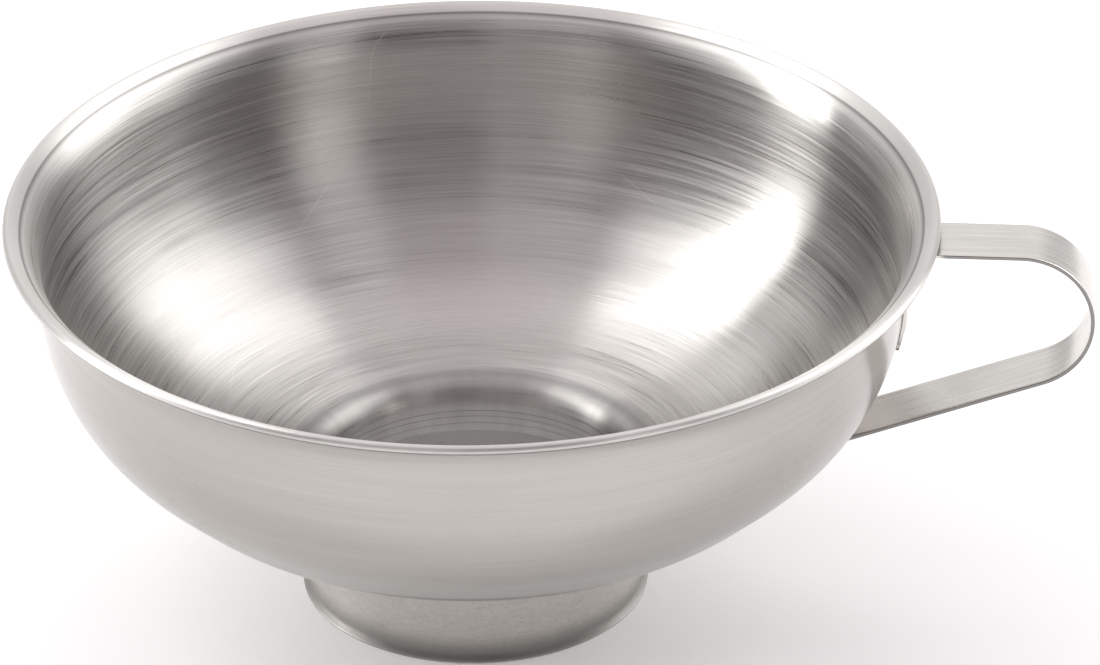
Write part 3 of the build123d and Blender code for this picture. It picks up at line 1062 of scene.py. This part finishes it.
class FUNNEL_OT_make_studio(bpy.types.Operator):
    """Makes the floor, the lights and the camera"""

    bl_idname = "funnel.make_studio"
    bl_label = "Make Studio"

    def execute(self, context):
        studio = settings()[2]
        scene = context.scene
        scene.view_settings.view_transform = "Standard"
        self.make_floor(studio)
        self.make_world(scene)
        aim = Vector(studio.aim)
        for lamp in LAMPS:
            area_light(*lamp[:1], *map(math.radians, lamp[1:3]), *lamp[3:], aim)
        self.make_camera(scene, studio, aim)
        return {"FINISHED"}

    def make_floor(self, studio):
        """A wide pale floor that glows a little."""
        half = studio.floor_width / 2
        mesh = bpy.data.meshes.new("Floor")
        corners = [(-half, -half, 0.0), (half, -half, 0.0), (half, half, 0.0), (-half, half, 0.0)]
        mesh.from_pydata(corners, [], [(0, 1, 2, 3)])
        floor = bpy.data.objects.new("Floor", mesh)
        material = bpy.data.materials.new("Floor")
        material.use_nodes = True
        graph = Graph(material.node_tree)
        shader = next(n for n in graph.tree.nodes if n.bl_idname == "ShaderNodeBsdfPrincipled")
        graph.fill(shader.inputs["Base Color"], tone(studio.floor_tone))
        graph.fill(shader.inputs["Roughness"], 0.9)
        graph.fill(shader.inputs["Specular IOR Level"], 0.0)
        graph.fill(shader.inputs["Emission Color"], tone(studio.floor_tone))
        graph.fill(shader.inputs["Emission Strength"], studio.floor_glow)
        mesh.materials.append(material)
        bpy.context.scene.collection.objects.link(floor)

    def make_world(self, scene):
        """Grey walls all round, with paler panels on them."""
        world = bpy.data.worlds.new("Studio")
        scene.world = world
        world.use_nodes = True
        graph = Graph(world.node_tree)
        x, y, height = graph.parts(graph.node("ShaderNodeTexCoord", output="Generated"))
        flat = (x * x + y * y + TINY) ** 0.5
        walls = graph.ramp(height, WALL_TONES)
        shade = 0.0
        for azimuth, half, soft, low, high, grey in WALL_PANELS:
            way = math.radians(azimuth)
            facing = (x * math.cos(way) + y * math.sin(way)) / flat
            beside = facing.step(math.cos(math.radians(half + soft)), math.cos(math.radians(half)))
            within = height.step(low - 0.08, low + 0.08) * height.step(high + 0.08, high - 0.08)
            shade = shade + beside * within * grey
        background = next(n for n in graph.tree.nodes if n.bl_idname == "ShaderNodeBackground")
        graph.fill(background.inputs["Color"], graph.vector(*[walls * tint + shade for tint in WALL_TINT]))
        graph.fill(background.inputs["Strength"], 1.0)

    def make_camera(self, scene, studio, aim):
        """A camera that looks at its aim from the front and above."""
        data = bpy.data.cameras.new("Camera")
        data.lens = studio.lens
        data.clip_end = 100.0
        camera = bpy.data.objects.new("Camera", data)
        a, e = studio.azimuth, studio.elevation
        back = Vector((math.sin(a) * math.cos(e), -math.cos(a) * math.cos(e), math.sin(e)))
        right = Vector((math.cos(a), math.sin(a), 0.0))
        turn = Matrix((right, back.cross(right), back)).transposed()
        camera.rotation_euler = (turn @ Matrix.Rotation(studio.roll, 3, "Z")).to_euler()
        camera.location = aim + back * studio.distance
        scene.collection.objects.link(camera)
        scene.camera = camera


class FUNNEL_PT_sidebar(bpy.types.Panel):
    """The funnel's sizes, finish, studio and steps"""

    bl_label = "Canning Funnel"
    bl_space_type = "VIEW_3D"
    bl_region_type = "UI"
    bl_category = "Funnel"

    def draw(self, context):
        for step in STEPS:
            self.layout.operator(step.bl_idname)
        for group in settings():
            for name in group.bl_rna.properties.keys():
                if name not in ("rna_type", "name"):
                    self.layout.prop(group, name)


STEPS = (
    FUNNEL_OT_make_studio, FUNNEL_OT_turn_bowl, FUNNEL_OT_turn_spout,
    FUNNEL_OT_run_braze, FUNNEL_OT_bend_strap, FUNNEL_OT_set_welds,
)
GROUPS = (("funnel_sizes", FunnelSizes), ("funnel_finish", FunnelFinish), ("funnel_studio", FunnelStudio))


def register():
    for name, group in GROUPS:
        bpy.utils.register_class(group)
        setattr(bpy.types.Scene, name, bpy.props.PointerProperty(type=group))
    for made in (*STEPS, FUNNEL_PT_sidebar):
        bpy.utils.register_class(made)


def unregister():
    for made in reversed((*STEPS, FUNNEL_PT_sidebar)):
        bpy.utils.unregister_class(made)
    for name, group in reversed(GROUPS):
        delattr(bpy.types.Scene, name)
        bpy.utils.unregister_class(group)


def main():
    register()
    for step in STEPS:
        family, name = step.bl_idname.split(".")
        getattr(getattr(bpy.ops, family), name)()
    bpy.context.view_layer.update()


if __name__ == "__main__":
    main()
